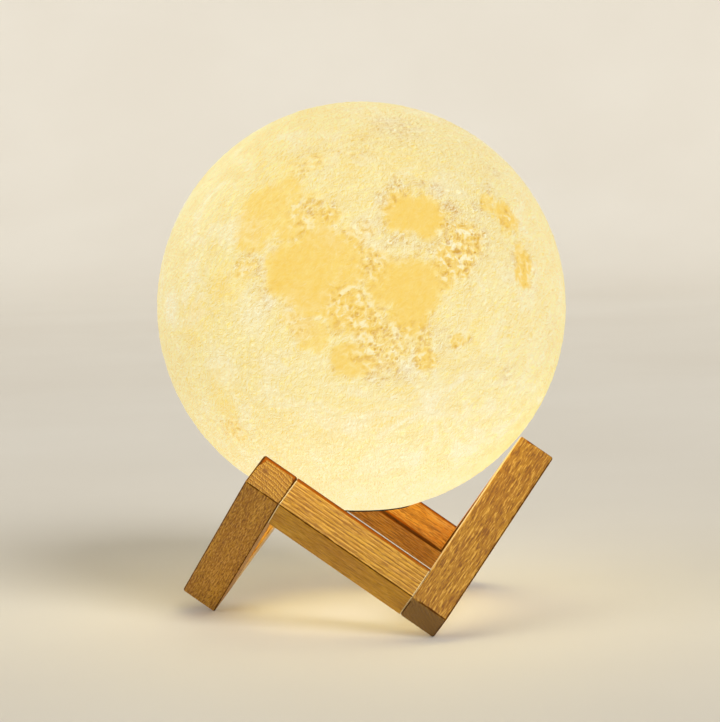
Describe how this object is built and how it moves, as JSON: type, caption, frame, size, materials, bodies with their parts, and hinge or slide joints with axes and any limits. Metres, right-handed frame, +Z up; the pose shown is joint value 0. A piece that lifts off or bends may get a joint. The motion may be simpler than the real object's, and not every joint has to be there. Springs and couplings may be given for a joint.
{
  "type": "moon lamp",
  "caption": "Table lamp: a relief globe lit from inside rests on a zigzag ring of square beech bars; a light module with battery, button and charging port fills the globe's mouth.",
  "frame": {"origin": "on the table, on the upright axis through the globe's centre", "axes": "+Z up; -Y towards the front cross bar"},
  "size_m": [0.15, 0.15, 0.1879],
  "materials": {
    "beech": "oiled, fine grain with short dark flecks",
    "moon_print": "matt printed relief, lit from inside",
    "white_plastic": "fine matt moulding",
    "frosted_plastic": "frosted, translucent",
    "black_silicone": "soft matt",
    "port_steel": "plated",
    "black_plastic": "matt",
    "board_white": "white solder mask",
    "board_green": "green solder mask",
    "screw_steel": "zinc plated",
    "cell_foil": "pouch foil",
    "grey_foam": "open cell foam",
    "lead_red": "wire insulation",
    "lead_black": "wire insulation",
    "lead_white": "wire insulation",
    "led_yellow": "phosphor window in a white case",
    "clear_plastic": "clear light pipe",
    "wood_dowel": "plain turned dowel"
  },
  "bodies": {
    "stand": {"left_leg_bar": "beech", "right_leg_bar": "beech", "back_leg_bar": "beech", "front_cross_bar": "beech", "right_cross_bar": "beech", "left_cross_bar": "beech", "stand_dowels": "wood_dowel"},
    "light_module": {"base_cap": "white_plastic", "cap_gasket": "black_silicone", "module_housing": "white_plastic", "diffuser_dome": "frosted_plastic", "usb_port_shell": "port_steel", "usb_port_tongue": "black_plastic", "control_board": "board_green", "board_chips": "black_plastic", "board_screws": "screw_steel", "tact_switch": "black_plastic", "status_light": "clear_plastic", "battery_cell": "cell_foil", "battery_foam": "grey_foam", "battery_plug": "lead_white", "battery_lead_red": "lead_red", "battery_lead_black": "lead_black", "led_board": "board_white", "led_chips": "led_yellow", "led_board_screws": "screw_steel", "led_wires": "lead_white"},
    "globe": {"globe_shell": "moon_print", "mouth_collar": "white_plastic"},
    "button": {"power_button": "white_plastic", "switch_plunger": "black_plastic"}
  },
  "joints": [
    {"name": "globe_lift", "type": "slide", "parent": "stand", "child": "light_module", "axis": [0, 0, 1], "range_m": [0, 0.08]},
    {"name": "globe_turn", "type": "hinge", "parent": "light_module", "child": "globe", "pos_m": [0, 0, 0.0439], "axis": [0, 0, 1], "continuous": true},
    {"name": "button_press", "type": "slide", "parent": "light_module", "child": "button", "axis": [0, 0, 1], "range_m": [0, 0.0005], "stiffness_N_per_m": 1500, "springref_m": -0.0003}
  ]
}
